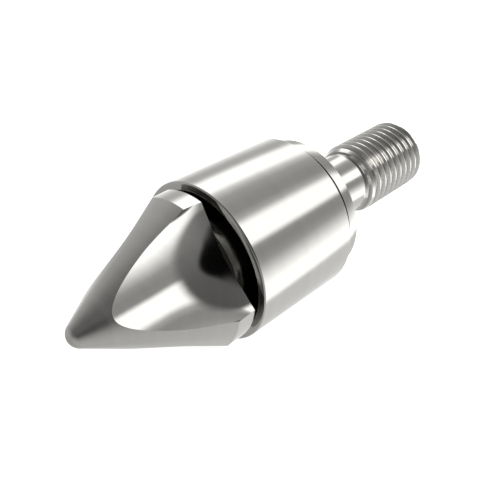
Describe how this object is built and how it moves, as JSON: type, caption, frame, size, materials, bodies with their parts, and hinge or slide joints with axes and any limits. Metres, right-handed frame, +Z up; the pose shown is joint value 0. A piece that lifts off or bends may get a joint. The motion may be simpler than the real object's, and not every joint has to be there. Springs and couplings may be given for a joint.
{
  "type": "injection screw tip with check ring",
  "caption": "Winged conical screw tip with a sliding check ring and a seat ring on a threaded shank, the non-return valve of an injection moulding screw.",
  "frame": {"origin": "on the axis, in the rear face of the seat ring, where the set bears on the end of the screw", "axes": "+Y along the axis from the nose to the threaded shank, +Z up with the axis lying level"},
  "size_m": [0.05, 0.1414, 0.05],
  "materials": {
    "tip_steel": "hardened tool steel, ground and polished bright",
    "ring_steel": "hardened tool steel, ground bright with fine turned marks round it",
    "seat_steel": "hardened tool steel, ground bright on its rim and faces"
  },
  "bodies": {
    "tip": {"screw_tip": "tip_steel", "seat_ring": "seat_steel"},
    "ring": {"check_ring": "ring_steel"}
  },
  "joints": [
    {"name": "ring_slide", "type": "slide", "parent": "tip", "child": "ring", "axis": [0, -1, 0], "range_m": [0, 0.0025]}
  ]
}
